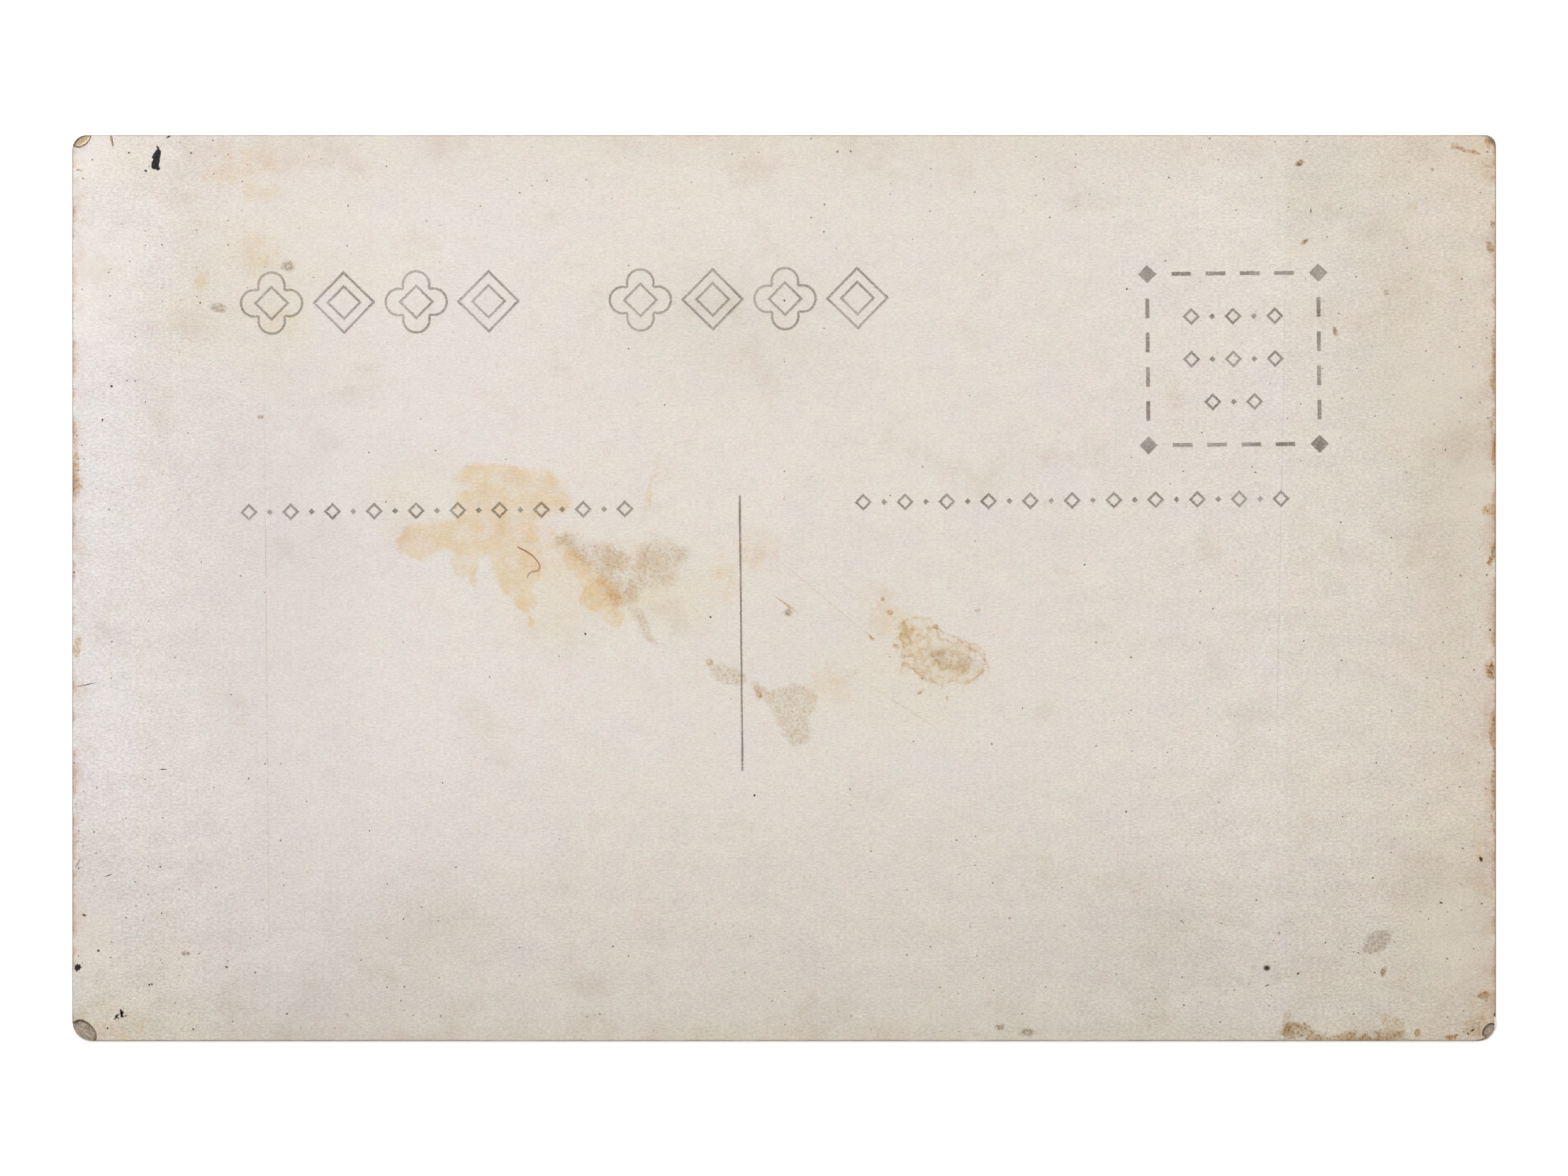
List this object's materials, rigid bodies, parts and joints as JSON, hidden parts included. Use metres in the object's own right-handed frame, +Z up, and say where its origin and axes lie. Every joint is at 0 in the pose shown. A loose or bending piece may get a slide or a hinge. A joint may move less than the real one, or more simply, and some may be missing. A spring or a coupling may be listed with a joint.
{
  "type": "postcard",
  "caption": "Old photographic postcard of pasted paper plies with worn round corners and letterpress ornaments on its back: heading, stamp place, two labels and a dividing rule.",
  "frame": {"origin": "middle of the picture side, which the card lies on", "axes": "+X to the right along the length of the back, +Y to the top edge of the back, +Z up out of the back"},
  "size_m": [0.1396, 0.0888, 0.0003],
  "materials": {
    "gelatin_emulsion": "satin",
    "baryta": "matte",
    "front_paper": "matte",
    "core_paper": "matte",
    "back_paper": "matte",
    "letterpress_ink": "matte"
  },
  "bodies": {
    "root": {"emulsion": "gelatin_emulsion", "baryta_coat": "baryta", "front_ply": "front_paper", "core_ply": "core_paper", "back_ply": "back_paper", "heading_ink": "letterpress_ink", "divider_ink": "letterpress_ink", "message_label_ink": "letterpress_ink", "address_label_ink": "letterpress_ink", "stamp_frame_ink": "letterpress_ink", "stamp_rows_ink": "letterpress_ink"}
  },
  "joints": []
}
